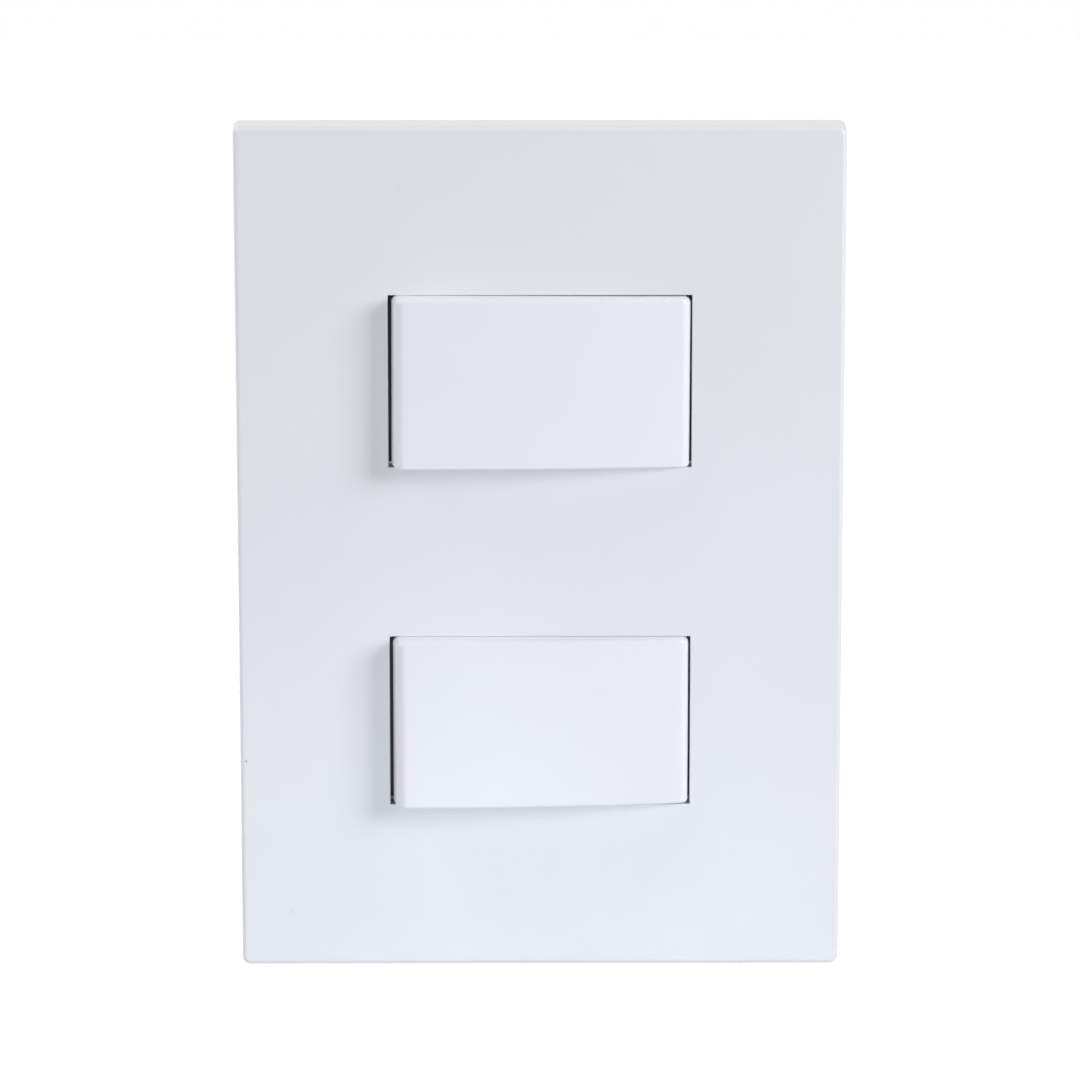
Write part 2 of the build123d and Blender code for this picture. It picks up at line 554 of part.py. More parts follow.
def pieces():
    """Every piece of the switch by node name, in place."""
    placed = {"face_plate": face_plate(), "mounting_frame": mounting_frame()}
    module_pieces = module()
    for name, place in SWITCHES.items():
        placed[f"{name}_box_screw"] = Pos(0, 0, place * BOX_SCREW_Z) * box_screw()
        for piece, shape in module_pieces.items():
            placed[f"{name}_{piece}"] = Pos(0, 0, place * MODULE_PITCH) * shape
    return placed


os.makedirs("parts", exist_ok=True)
for node, shape in pieces().items():
    export_step(shape, f"parts/{node}.step")
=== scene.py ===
"""Wall light switch with two rocker keys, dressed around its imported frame.

The frame holds every solid at its real size and place, in metres: x to the right, y into the wall, z up.
The face plate, keys, screws and springs are modelled here. The other pieces keep their solids and get
a finish.
"""
import json
from contextlib import contextmanager
from math import cos, pi, radians, sin, sqrt

import bmesh
import bpy
from bpy.props import FloatProperty, FloatVectorProperty, IntProperty, PointerProperty
from mathutils import Matrix, Vector


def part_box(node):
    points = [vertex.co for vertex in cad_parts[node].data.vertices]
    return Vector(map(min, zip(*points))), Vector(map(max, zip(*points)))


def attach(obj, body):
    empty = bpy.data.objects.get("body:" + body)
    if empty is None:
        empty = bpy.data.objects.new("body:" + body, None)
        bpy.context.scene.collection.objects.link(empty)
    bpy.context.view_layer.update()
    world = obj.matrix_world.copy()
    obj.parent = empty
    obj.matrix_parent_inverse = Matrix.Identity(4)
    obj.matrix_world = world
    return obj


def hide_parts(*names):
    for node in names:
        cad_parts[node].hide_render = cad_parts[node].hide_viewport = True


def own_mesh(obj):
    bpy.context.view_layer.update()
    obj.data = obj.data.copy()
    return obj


bl_info = {
    "name": "Wall Light Switch",
    "version": (1, 0, 0),
    "blender": (4, 5, 0),
    "location": "View3D > Sidebar > Light Switch",
    "description": "Models and finishes a wall light switch with two rocker keys",
    "category": "Object",
}

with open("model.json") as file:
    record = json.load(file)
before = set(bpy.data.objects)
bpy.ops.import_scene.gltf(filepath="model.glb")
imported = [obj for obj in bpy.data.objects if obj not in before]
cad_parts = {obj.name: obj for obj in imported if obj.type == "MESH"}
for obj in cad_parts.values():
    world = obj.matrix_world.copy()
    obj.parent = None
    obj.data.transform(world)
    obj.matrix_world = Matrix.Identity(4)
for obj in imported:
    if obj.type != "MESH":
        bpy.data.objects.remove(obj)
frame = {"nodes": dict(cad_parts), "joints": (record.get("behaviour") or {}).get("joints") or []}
NODES = frame["nodes"]
JOINTS = {joint["name"]: joint for joint in frame["joints"]}
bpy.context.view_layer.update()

MODULES = ("upper", "lower")
SIDES = (-1, 1)
NEAR = 1e-5  # two coordinates closer than this are the same
MERGE = NEAR / 10  # points closer than this are merged
CUT = NEAR / 100  # points closer than this to a cut lie on it
FACING = 0.5  # least part of a normal that counts as facing that way
WIDE_STEPS, EDGE_STEPS, FINE_STEPS = 8, 6, 3  # steps of the rounded edges
SMOOTH_ANGLE = radians(32)
FLAT_WEIGHT = 80  # how far the flats lead the shading of the rounded edges
TO_ROOM = Matrix.Rotation(pi / 2, 4, "X")  # turns a piece that stands on z to point out of the wall
TO_RIGHT = Matrix.Rotation(pi / 2, 4, "Y")  # turns a piece that stands on z to point to the right

PLATE_LOW, PLATE_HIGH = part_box("face_plate")


def size(name, description, default):
    """A length in metres that a user may change."""
    return FloatProperty(
        name=name, description=description, default=default, min=0, precision=5, unit="LENGTH"
    )


def colour(name, description, default):
    """A base colour that a user may change."""
    return FloatVectorProperty(
        name=name, description=description, default=default, min=0, max=1, size=3, subtype="COLOR"
    )


class PlateSizes(bpy.types.PropertyGroup):
    """Sizes of the moulded face plate"""

    draft: size("Draft", "How far each side leans in from the wall to the front", 0.0005)
    edge: size("Edge radius", "Radius of the front edges", 0.0007)
    corner: size("Corner radius", "Radius of the four corners", 0.0012)
    side_wall: size("Side wall", "Thickness of the side walls", 0.0018)
    inside: size("Inside depth", "Depth of the hollow behind the front wall", 0.0055)
    opening_width: size("Opening width", "Width of each key opening", 0.0422)
    opening_height: size("Opening height", "Height of each key opening", 0.02404)
    rim: size("Opening edge", "Radius of the opening's front edge", 0.00012)
    hook_spacing: size("Hook spacing", "Distance between the two hooks of one end", 0.040)
    hook_width: size("Hook width", "Width of each snap hook", 0.006)
    hook_arm: size("Hook arm", "Thickness of a hook's arm", 0.0014)
    hook_barb: size("Hook barb", "Reach of a hook's barb", 0.0008)
    hook_place: size("Hook place", "Inner face of the hooks to the plate's centre", 0.0482)
    hook_tip: size("Hook tip", "Height of a hook's tip off the wall", 0.0001)
    hook_catch: size("Hook catch", "Height of the barb's catching face off the wall", 0.0011)
    rib_place: size("Rib place", "Middle of the support ribs to the plate's centre", 0.0318)
    rib_width: size("Rib width", "Thickness of the support ribs", 0.0012)
    rib_foot: size("Rib foot", "Height of the ribs' rear edge off the wall", 0.0032)
    notch_width: size("Notch width", "Width of the pry notch in the lower wall", 0.010)
    notch_depth: size("Notch depth", "Depth of the pry notch", 0.0016)


class KeySizes(bpy.types.PropertyGroup):
    """Sizes of a rocker key, measured with the key level"""

    length: size("Length", "Length of the key at the skirt's rear edge", 0.0415)
    draft: size("Draft", "How far each end leans in from the skirt to the front", 0.0002)
    height: size("Height", "Height of the key", 0.02384)
    end_front: size("End front", "Height of the key's ends off the wall", 0.00995)
    crown: size("Crown", "Rise of the key's middle over its ends", 0.0009)
    edge: size("Edge radius", "Radius of the upper front edge and its corners", 0.0009)
    lower_edge: size("Lower edge radius", "Radius of the lower front edge and its corners", 0.0005)
    end_edge: size("End radius", "Radius of the front edges at the two ends", 0.0013)
    cap: size("Cap", "Thickness of the front wall", 0.0018)
    skirt: size("Skirt", "Thickness of the side walls", 0.0015)
    skirt_rear: size("Skirt rear", "Height of the skirt's rear edge off the wall", 0.0051)
    rib_outer: size("Rib place", "Outer face of the trunnion ribs to the key's middle", 0.00657)
    rib: size("Rib", "Thickness of the trunnion ribs", 0.0015)
    rib_spread: size("Rib spread", "Half width of the ribs at the cap", 0.005)
    rib_foot: size("Rib foot", "Half width of the ribs at the trunnion, and their reach behind it", 0.0016)
    trunnion: size("Trunnion", "Radius of the trunnions", 0.0012)
    trunnion_end: size("Trunnion end", "End of the trunnions to the key's middle", 0.00887)
    tube_width: size("Tube width", "Outside width of the plunger tube", 0.0068)
    tube_bore: size("Tube bore", "Inside width of the plunger tube", 0.0042)
    tube_reach: size("Tube reach", "Pivot to the open end of the plunger tube", 0.0075)
    strips: IntProperty(name="Strips", description="Strips along the crowned front", default=24, min=4)


class ScrewSizes(bpy.types.PropertyGroup):
    """Sizes of the box screws and the terminal screws"""

    radius: size("Thread radius", "Outer radius of the threads", 0.00175)
    thread_depth: size("Thread depth", "Depth of the threads", 0.00034)
    pitch: size("Pitch", "Advance of the threads in one turn", 0.0006)
    neck: size("Neck radius", "Radius of the plain neck under the head", 0.00155)
    neck_rear: size("Neck rear", "Where the neck ends, behind the wall plane", 0.00025)
    head: size("Head radius", "Radius of the head", 0.0032)
    head_height: size("Head height", "Height of the head", 0.002)
    head_edge: size("Head edge", "Radius of the head's front edge", 0.0006)
    slot: size("Slot", "Width of the driver slot", 0.0009)
    slot_depth: size("Slot depth", "Depth of the driver slot", 0.0008)
    tip_bevel: size("Tip bevel", "Bevel at the end of a thread", 0.0004)


class SpringSizes(bpy.types.PropertyGroup):
    """Sizes of a plunger spring"""

    wire: size("Wire radius", "Radius of the spring wire", 0.00025)
    coil: size("Coil radius", "Radius of the coil at the wire's middle", 0.00155)
    start: size("Start", "Height of the first turn off the wall", 0.0018)
    end: size("End", "Height of the last turn off the wall", 0.00875)
    turns: IntProperty(name="Turns", description="Turns of the coil", default=4, min=1)


class Finishes(bpy.types.PropertyGroup):
    """Base colours of the finishes"""

    plate: colour("Plate", "White of the face plate", (0.79, 0.782, 0.795))
    key: colour("Keys", "White of the keys", (0.825, 0.818, 0.838))
    frame: colour("Frame", "Dark grey of the mounting frame", (0.12, 0.123, 0.127))
    module: colour("Modules", "Charcoal of the carriers and bases", (0.028, 0.029, 0.031))
    nylon: colour("Plungers", "Natural nylon of the plungers", (0.74, 0.71, 0.63))
    brass: colour("Brass", "Brass of the terminals and blades", (0.72, 0.50, 0.20))
    silver: colour("Contacts", "Silver of the contact pads", (0.80, 0.79, 0.76))
    zinc: colour("Screws", "Zinc plate of the screws", (0.60, 0.60, 0.58))
    spring: colour("Springs", "Drawn steel of the springs", (0.42, 0.42, 0.43))


class Studio(bpy.types.PropertyGroup):
    """Camera and floor"""

    distance: size("Distance", "Camera to the plate's front", 0.56)
    azimuth: FloatProperty(
        name="Azimuth", description="Camera to the right of the plate", default=radians(-0.41),
        subtype="ANGLE",
    )
    elevation: FloatProperty(
        name="Elevation", description="Camera above the plate", default=radians(9.04), subtype="ANGLE"
    )
    aim: FloatProperty(
        name="Aim", description="Height that the camera looks at", default=0.00172, precision=5,
        unit="LENGTH",
    )
    lens: FloatProperty(name="Lens", description="Focal length", default=133.6, min=1, unit="CAMERA")
    floor_drop: size("Floor drop", "Plate's lower edge to the floor", 0.55)


def deselect():
    """Leave nothing selected, so that an operator acts on its own piece alone."""
    bpy.ops.object.select_all(action="DESELECT")


def focus(piece):
    """Make one piece the only selected and active one."""
    deselect()
    piece.select_set(True)
    bpy.context.view_layer.objects.active = piece


def remove(piece):
    """Delete one piece."""
    focus(piece)
    bpy.ops.object.delete()


def apply_place():
    """Move the place of the selected piece into its mesh, with its object left at the origin."""
    bpy.ops.object.transform_apply(location=True, rotation=True, scale=True)


@contextmanager
def editing(piece):
    """Edit mode on one piece, entered with nothing selected."""
    focus(piece)
    bpy.ops.object.mode_set(mode="EDIT")
    bpy.ops.mesh.select_mode(type="VERT")
    bpy.ops.mesh.select_all(action="DESELECT")
    yield
    bpy.ops.object.mode_set(mode="OBJECT")


def pick_all():
    """Select the whole mesh."""
    bpy.ops.mesh.select_all(action="SELECT")


def pick(piece, mode, group, test):
    """Select the parts of one kind that pass a test, and nothing else."""
    bpy.ops.mesh.select_mode(type=mode)
    bpy.ops.mesh.select_all(action="DESELECT")
    mesh = bmesh.from_edit_mesh(piece.data)
    for part in getattr(mesh, group):
        part.select_set(test(part))
    bmesh.update_edit_mesh(piece.data)


def pick_faces(piece, test):
    """Select the faces whose centre and normal pass a test."""
    pick(piece, "FACE", "faces", lambda face: test(face.calc_center_median(), face.normal))


def pick_edges(piece, test):
    """Select the edges whose two ends pass a test."""
    pick(piece, "EDGE", "edges", lambda edge: test(edge.verts[0].co, edge.verts[1].co))


def pick_points(piece, test):
    """Select the points that pass a test."""
    pick(piece, "VERT", "verts", lambda point: test(point.co))


def round_edges(piece, test, radius, steps):
    """Round the edges whose two ends pass a test."""
    pick_edges(piece, test)
    bpy.ops.mesh.bevel(offset=radius, segments=steps, affect="EDGES", clamp_overlap=False)


def extrude(move):
    """Extrude what is selected by a move."""
    bpy.ops.mesh.extrude_region_move(TRANSFORM_OT_translate={"value": move})


def same(a, b):
    """True where two coordinates are the same."""
    return abs(a - b) < NEAR


def add_block(name, low, high):
    """A box between two corners."""
    low, high = Vector(low), Vector(high)
    deselect()
    bpy.ops.mesh.primitive_cube_add(size=1, location=(low + high) / 2)
    block = bpy.context.object
    block.name = block.data.name = name
    block.scale = high - low
    apply_place()
    return block


def add_line(name, points):
    """A chain of points, drawn by extruding the first one along it."""
    points = [Vector(point) for point in points]
    deselect()
    bpy.ops.mesh.primitive_plane_add(size=NEAR, location=points[0])
    line = bpy.context.object
    line.name = line.data.name = name
    apply_place()
    with editing(line):
        pick_all()
        bpy.ops.mesh.merge(type="CENTER")
        for before, after in zip(points, points[1:]):
            extrude(after - before)
    return line


def apply_modifier(piece, kind, **values):
    """Add a modifier with some values and apply it."""
    focus(piece)
    bpy.ops.object.modifier_add(type=kind)
    modifier = piece.modifiers[-1]
    for name, value in values.items():
        setattr(modifier, name, value)
    bpy.ops.object.modifier_apply(modifier=modifier.name)


def combine(piece, tool, operation):
    """Add a second mesh to a piece or cut it out, and use it up."""
    apply_modifier(piece, "BOOLEAN", object=tool, operation=operation, solver="EXACT")
    remove(tool)


def place(piece, matrix):
    """Move a finished mesh to its place, with its object left at the origin."""
    focus(piece)
    piece.matrix_world = matrix
    apply_place()


def clean(piece):
    """Merge double points and turn every face outwards."""
    with editing(piece):
        pick_all()
        bpy.ops.mesh.remove_doubles(threshold=MERGE)
        bpy.ops.mesh.normals_make_consistent(inside=False)


def smooth(piece):
    """Smooth the rounded edges and keep the flats flat."""
    focus(piece)
    bpy.ops.object.shade_smooth_by_angle(angle=SMOOTH_ANGLE)
    apply_modifier(piece, "WEIGHTED_NORMAL", keep_sharp=True, weight=FLAT_WEIGHT)


def copy_of(piece, name):
    """A second piece with a mesh of its own."""
    focus(piece)
    bpy.ops.object.duplicate()
    twin = bpy.context.object
    twin.name = twin.data.name = name
    return twin


def dress(piece, body, slot, finish, *nodes):
    """Give a finished piece its material, its body and the solids that it stands for."""
    if not piece.data.polygons:
        raise RuntimeError(f"{piece.name} came out empty")
    piece.data.materials.clear()
    piece.data.materials.append(finish)
    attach(piece, body)
    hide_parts(*nodes)


def finish_nodes(finish, names):
    """Give solids that stay as they are a better material."""
    for name in names:
        NODES[name].data.materials.clear()
        NODES[name].data.materials.append(finish)


def in_modules(*pieces):
    """Names of some solids in every module."""
    return [f"{name}_{piece}" for name in MODULES for piece in pieces]


NOISE_LOW, NOISE_HIGH = 0.2, 0.8  # nearly all noise lies between these
MOULD_CLOUDS, MOULD_PATCHES = 45, 900  # features in a metre of a moulding's colour and gloss
METAL_CLOUDS, METAL_LINES = 260, 2500  # features in a metre of a metal's colour and lines
METAL_RELIEF = 4e-6  # depth of a metal's lines
EVEN, ROLLED = (1, 1, 1), (0.08, 1, 1)  # stretch of a metal's lines


def new_finish(name, base, roughness, metallic=0.0):
    """A material with its shader set to even values, and its node tree."""
    material = bpy.data.materials.new(name)
    material.use_nodes = True
    material.diffuse_color = (*base, 1)
    shader = material.node_tree.nodes["Principled BSDF"]
    shader.inputs["Base Color"].default_value = (*base, 1)
    shader.inputs["Roughness"].default_value = roughness
    shader.inputs["Metallic"].default_value = metallic
    return material, material.node_tree, shader


def object_noise(tree, scale, detail=2.0, stretch=EVEN):
    """Noise on the piece's own coordinates, with features of about 1 / scale metres."""
    places = tree.nodes.new("ShaderNodeTexCoord")
    mapping = tree.nodes.new("ShaderNodeMapping")
    noise = tree.nodes.new("ShaderNodeTexNoise")
    mapping.inputs["Scale"].default_value = stretch
    noise.inputs["Scale"].default_value = scale
    noise.inputs["Detail"].default_value = detail
    tree.links.new(places.outputs["Object"], mapping.inputs["Vector"])
    tree.links.new(mapping.outputs["Vector"], noise.inputs["Vector"])
    return noise.outputs["Fac"]


def spread(tree, value, low, high):
    """Noise turned into a range of values."""
    ramp = tree.nodes.new("ShaderNodeMapRange")
    ramp.interpolation_type = "SMOOTHSTEP"
    ramp.inputs["From Min"].default_value = NOISE_LOW
    ramp.inputs["From Max"].default_value = NOISE_HIGH
    ramp.inputs["To Min"].default_value = low
    ramp.inputs["To Max"].default_value = high
    tree.links.new(value, ramp.inputs["Value"])
    return ramp.outputs["Result"]


def mottle(tree, value, base, change):
    """A base colour that wanders a little lighter and darker."""
    mix = tree.nodes.new("ShaderNodeMix")
    mix.data_type = "RGBA"
    mix.inputs["A"].default_value = (*(part * (1 - change) for part in base), 1)
    mix.inputs["B"].default_value = (*(min(1, part * (1 + change)) for part in base), 1)
    tree.links.new(value, mix.inputs["Factor"])
    return mix.outputs["Result"]


def bump(tree, shader, value, height):
    """Relief of a height in metres from a value."""
    relief = tree.nodes.new("ShaderNodeBump")
    relief.inputs["Strength"].default_value = 1.0
    relief.inputs["Distance"].default_value = height
    tree.links.new(value, relief.inputs["Height"])
    tree.links.new(relief.outputs["Normal"], shader.inputs["Normal"])


def moulded(name, base, roughness, grain, relief, change=0.012, gloss=0.04):
    """Moulded plastic: a fine grain from the tool, and slow changes of colour and gloss."""
    material, tree, shader = new_finish(name, base, roughness)
    slow = spread(tree, object_noise(tree, MOULD_CLOUDS), 0, 1)
    tree.links.new(mottle(tree, slow, base, change), shader.inputs["Base Color"])
    patches = spread(tree, object_noise(tree, MOULD_PATCHES), roughness - gloss, roughness + gloss)
    tree.links.new(patches, shader.inputs["Roughness"])
    bump(tree, shader, object_noise(tree, 1 / grain, detail=3), relief)
    return material


def drawn_metal(name, base, roughness, stretch=EVEN, change=0.08, smoother=0.1, rougher=0.12):
    """Metal with fine lines along the way that it was drawn, rolled or turned."""
    material, tree, shader = new_finish(name, base, roughness, metallic=1.0)
    lines = object_noise(tree, METAL_LINES, detail=3, stretch=stretch)
    slow = spread(tree, object_noise(tree, METAL_CLOUDS), 0, 1)
    tree.links.new(mottle(tree, slow, base, change), shader.inputs["Base Color"])
    gloss = spread(tree, lines, roughness - smoother, roughness + rougher)
    tree.links.new(gloss, shader.inputs["Roughness"])
    bump(tree, shader, lines, METAL_RELIEF)
    return material


SPECKS = (  # specks of dirt on the plate: x, z and radius, in metres, and how dark each is
    (-0.0194, 0.0506, 0.00016, 0.20), (-0.0366, 0.0510, 0.00013, 0.12), (0.0226, 0.0544, 0.00012, 0.15),
    (0.0308, 0.0465, 0.00012, 0.12), (-0.0352, -0.0516, 0.00020, 0.25), (-0.0414, -0.0298, 0.00018, 0.80),
)
SPECK_COLOUR = (0.30, 0.29, 0.30, 1)


def larger(tree, first, second):
    """The larger of two values."""
    most = tree.nodes.new("ShaderNodeMath")
    most.operation = "MAXIMUM"
    tree.links.new(first, most.inputs[0])
    tree.links.new(second, most.inputs[1])
    return most.outputs["Value"]


def speck_mask(tree):
    """How much dirt there is: each speck's darkness on it, and 0 elsewhere."""
    places = tree.nodes.new("ShaderNodeTexCoord")
    across = tree.nodes.new("ShaderNodeVectorMath")
    across.operation = "MULTIPLY"
    across.inputs[1].default_value = (1, 0, 1)
    tree.links.new(places.outputs["Object"], across.inputs[0])
    mask = None
    for x, z, radius, darkness in SPECKS:
        away = tree.nodes.new("ShaderNodeVectorMath")
        away.operation = "DISTANCE"
        away.inputs[1].default_value = (x, 0, z)
        tree.links.new(across.outputs["Vector"], away.inputs[0])
        spot = tree.nodes.new("ShaderNodeMapRange")
        spot.inputs["From Min"].default_value = radius / 2
        spot.inputs["From Max"].default_value = radius
        spot.inputs["To Min"].default_value = darkness
        spot.inputs["To Max"].default_value = 0
        tree.links.new(away.outputs["Value"], spot.inputs["Value"])
        mark = spot.outputs["Result"]
        mask = larger(tree, mask, mark) if mask else mark
    return mask


def plate_finish(base):
    """Satin white plastic with a few specks of dirt."""
    material = moulded("satin_white_plastic", base, roughness=0.32, grain=0.00022, relief=2e-6)
    tree = material.node_tree
    shader = tree.nodes["Principled BSDF"]
    clean_white = shader.inputs["Base Color"].links[0].from_socket
    dirt = tree.nodes.new("ShaderNodeMix")
    dirt.data_type = "RGBA"
    dirt.inputs["B"].default_value = SPECK_COLOUR
    tree.links.new(speck_mask(tree), dirt.inputs["Factor"])
    tree.links.new(clean_white, dirt.inputs["A"])
    tree.links.new(dirt.outputs["Result"], shader.inputs["Base Color"])
    return material


def module_centre(name):
    """Middle of a module on z, from its key's pivot."""
    return JOINTS[f"{name}_key_tilt"]["pos_m"][2]


def key_tilt(name):
    """Turn of a key from level to its rest position, about its pivot."""
    joint = JOINTS[f"{name}_key_tilt"]
    pivot = Matrix.Translation(joint["pos_m"])
    turn = Matrix.Rotation(radians(joint["range_deg"][1]) / 2, 4, "Z")
    return pivot @ turn @ pivot.inverted() @ Matrix.Translation((0, 0, module_centre(name)))


def plate_shell(sizes):
    """Drafted, rounded and hollowed shell of the plate."""
    plate = add_block("moulded_face_plate", PLATE_LOW, PLATE_HIGH)
    width, depth, height = PLATE_HIGH - PLATE_LOW
    front = PLATE_LOW.y
    with editing(plate):
        pick_faces(plate, lambda centre, normal: normal.y < -FACING)
        lean = (1 - 2 * sizes.draft / width, 1, 1 - 2 * sizes.draft / height)
        bpy.ops.transform.resize(value=lean, center_override=(0, front, 0))
        pick_faces(plate, lambda centre, normal: normal.y > FACING)
        bpy.ops.mesh.inset(thickness=sizes.side_wall)
        extrude((0, -sizes.inside, 0))
        inner_draft = sizes.draft * sizes.inside / depth
        lean = (
            1 - 2 * inner_draft / (width - 2 * sizes.side_wall), 1,
            1 - 2 * inner_draft / (height - 2 * sizes.side_wall),
        )
        bpy.ops.transform.resize(value=lean, center_override=(0, -sizes.inside, 0))
        round_edges(plate, lambda a, b: abs(a.y - b.y) > depth - NEAR, sizes.corner, WIDE_STEPS)
        round_edges(plate, lambda a, b: max(a.y, b.y) < front + NEAR, sizes.edge, EDGE_STEPS)
    return plate


def cut_openings(plate, sizes):
    """Cut the key openings and round their front edges."""
    front = PLATE_LOW.y
    half_width, half_height = sizes.opening_width / 2, sizes.opening_height / 2
    for name in MODULES:
        z = module_centre(name)
        low, high = (-half_width, 2 * front, z - half_height), (half_width, 0, z + half_height)
        combine(plate, add_block("opening", low, high), "DIFFERENCE")

    def on_rim(a, b):
        if max(a.y, b.y) > front + NEAR or max(abs(a.x), abs(b.x)) > half_width + NEAR:
            return False
        upright = same(a.x, b.x) and same(abs(a.x), half_width)
        lying = same(a.z, b.z) and any(
            same(abs(a.z - module_centre(name)), half_height) for name in MODULES
        )
        return upright or lying

    with editing(plate):
        round_edges(plate, on_rim, sizes.rim, FINE_STEPS)


def add_hook(sizes, side, end):
    """A snap hook with its barb outwards, rooted in the front wall."""
    x = side * sizes.hook_spacing / 2
    start, edge = end * sizes.hook_place, end * (sizes.hook_place + sizes.hook_arm)
    root = -sizes.inside - sizes.rim
    hook = add_block(
        "hook",
        (x - sizes.hook_width / 2, root, min(start, edge)),
        (x + sizes.hook_width / 2, -sizes.hook_tip, max(start, edge)),
    )
    with editing(hook):
        pick_all()
        bpy.ops.mesh.bisect(plane_co=(0, -sizes.hook_catch, 0), plane_no=(0, 1, 0))
        pick_faces(hook, lambda centre, normal: normal.z * end > FACING and centre.y > -sizes.hook_catch)
        extrude((0, 0, end * sizes.hook_barb))
        pick_points(hook, lambda p: abs(p.z) > abs(edge) + NEAR and p.y > -sizes.hook_catch + NEAR)
        wedge = (sizes.hook_catch - sizes.hook_tip) / 2
        bpy.ops.transform.translate(value=(0, -wedge, 0))
    return hook


class LIGHT_SWITCH_OT_face_plate(bpy.types.Operator):
    """Model the face plate: drafted shell, key openings, snap hooks, support ribs and pry notch"""

    bl_idname = "light_switch.face_plate"
    bl_label = "Face Plate"

    def execute(self, context):
        sizes = context.scene.switch_plate
        plate = plate_shell(sizes)
        cut_openings(plate, sizes)
        for end in SIDES:
            for side in SIDES:
                combine(plate, add_hook(sizes, side, end), "UNION")
        root = -sizes.inside - sizes.rim
        for side in SIDES:
            middle = side * sizes.rib_place
            rib = add_block(
                "rib",
                (middle - sizes.rib_width / 2, root, -sizes.hook_place),
                (middle + sizes.rib_width / 2, -sizes.rib_foot, sizes.hook_place),
            )
            combine(plate, rib, "UNION")
        notch = add_block(
            "notch",
            (-sizes.notch_width / 2, -sizes.notch_depth, PLATE_LOW.z - sizes.side_wall),
            (sizes.notch_width / 2, sizes.notch_depth, PLATE_LOW.z + 2 * sizes.side_wall),
        )
        combine(plate, notch, "DIFFERENCE")
        clean(plate)
        smooth(plate)
        finish = plate_finish(context.scene.switch_finishes.plate)
        dress(plate, "housing", "plate_plastic", finish, "face_plate")
        return {"FINISHED"}


def crown_points(key, sizes, y, half):
    """Lift the points at one depth to an arc that ends at half the length, strip by strip."""
    radius = (half**2 + sizes.crown**2) / (2 * sizes.crown)
    mesh = bmesh.from_edit_mesh(key.data)
    for x in sorted({round(point.co.x, 6) for point in mesh.verts if same(point.co.y, y)}):
        pick_points(key, lambda p: same(p.y, y) and same(p.x, x))
        rise = sqrt(radius**2 - x**2) - (radius - sizes.crown)
        bpy.ops.transform.translate(value=(0, -rise, 0))


def key_cap(sizes):
    """Drafted, crowned, hollow and rounded cap of a level key at the module's middle."""
    half, side = sizes.length / 2, sizes.height / 2
    half_front = half - sizes.draft
    half_roof = half_front - sizes.skirt
    front, rear = -sizes.end_front, -sizes.skirt_rear
    roof = front + sizes.cap

    def across(a, b):
        return max(a.y, b.y) < front + NEAR and same(a.x, b.x) and same(abs(a.x), half_front)

    def around(a, b, z):
        on_front = max(a.y, b.y) < rear - NEAR
        on_corner = min(abs(a.x), abs(b.x)) > half_front
        return same(a.z, z) and same(b.z, z) and (on_front or on_corner)

    rounds = (
        (across, sizes.end_edge),
        (lambda a, b: around(a, b, side), sizes.edge),
        (lambda a, b: around(a, b, -side), sizes.lower_edge),
    )

    key = add_block("rocker_key", (-half, front, -side), (half, rear, side))
    with editing(key):
        pick_edges(key, lambda a, b: abs(a.x - b.x) > half)
        bpy.ops.mesh.subdivide(number_cuts=sizes.strips - 1)
        pick_points(key, lambda p: same(p.y, front))
        bpy.ops.transform.resize(value=(half_front / half, 1, 1), center_override=(0, front, 0))
        crown_points(key, sizes, front, half_front)
        pick_faces(key, lambda centre, normal: normal.y > FACING)
        bpy.ops.mesh.inset(thickness=sizes.skirt)
        extrude((0, roof - rear, 0))
        lean = half_roof / (half - sizes.skirt)
        bpy.ops.transform.resize(value=(lean, 1, 1), center_override=(0, roof, 0))
        crown_points(key, sizes, roof, half_roof)
        for test, radius in rounds:
            round_edges(key, test, radius, WIDE_STEPS)
    return key


def key_tube(sizes, pivot):
    """Square tube for the plunger, closed by the cap."""
    half, bore = sizes.tube_width / 2, sizes.tube_bore / 2
    mouth = pivot + sizes.tube_reach
    tube = add_block("tube", (-half, -sizes.end_front, -half), (half, mouth, half))
    with editing(tube):
        pick_faces(tube, lambda centre, normal: normal.y > FACING)
        bpy.ops.mesh.inset(thickness=half - bore)
        roof = -sizes.end_front - sizes.crown + sizes.cap
        extrude((0, roof - mouth, 0))
    return tube


def key_rib(sizes, pivot, side):
    """Rib from the cap down to one trunnion."""
    inner, outer = sorted((side * (sizes.rib_outer - sizes.rib), side * sizes.rib_outer))
    foot = pivot + sizes.rib_foot
    rib = add_block("rib", (-sizes.rib_spread, -sizes.end_front, inner), (sizes.rib_spread, foot, outer))
    with editing(rib):
        pick_all()
        bpy.ops.mesh.bisect(plane_co=(0, pivot, 0), plane_no=(0, 1, 0))
        for y, half in ((pivot, sizes.rib_foot), (foot, sizes.rib_foot / 2)):
            pick_points(rib, lambda p: same(p.y, y))
            bpy.ops.transform.resize(value=(half / sizes.rib_spread, 1, 1), center_override=(0, y, 0))
    return rib


TRUNNION_SIDES = 40
TRUNNION_BEVEL = 1 / 8  # of the radius


def key_trunnion(sizes, pivot, side):
    """Round trunnion with a small bevel at its end."""
    start, end = sizes.rib_outer - sizes.rib / 2, sizes.trunnion_end
    deselect()
    bpy.ops.mesh.primitive_cylinder_add(
        vertices=TRUNNION_SIDES, radius=sizes.trunnion, depth=end - start,
        location=(0, pivot, side * (start + end) / 2),
    )
    trunnion = bpy.context.object
    apply_place()
    with editing(trunnion):
        bevel = sizes.trunnion * TRUNNION_BEVEL
        round_edges(trunnion, lambda a, b: min(abs(a.z), abs(b.z)) > end - NEAR, bevel, steps=2)
    return trunnion


KEY_PLAY = {  # lift in metres and turn in radians of each key in its clearance
    "upper": (0.0, 0.004),
    "lower": (0.00008, 0.0),
}


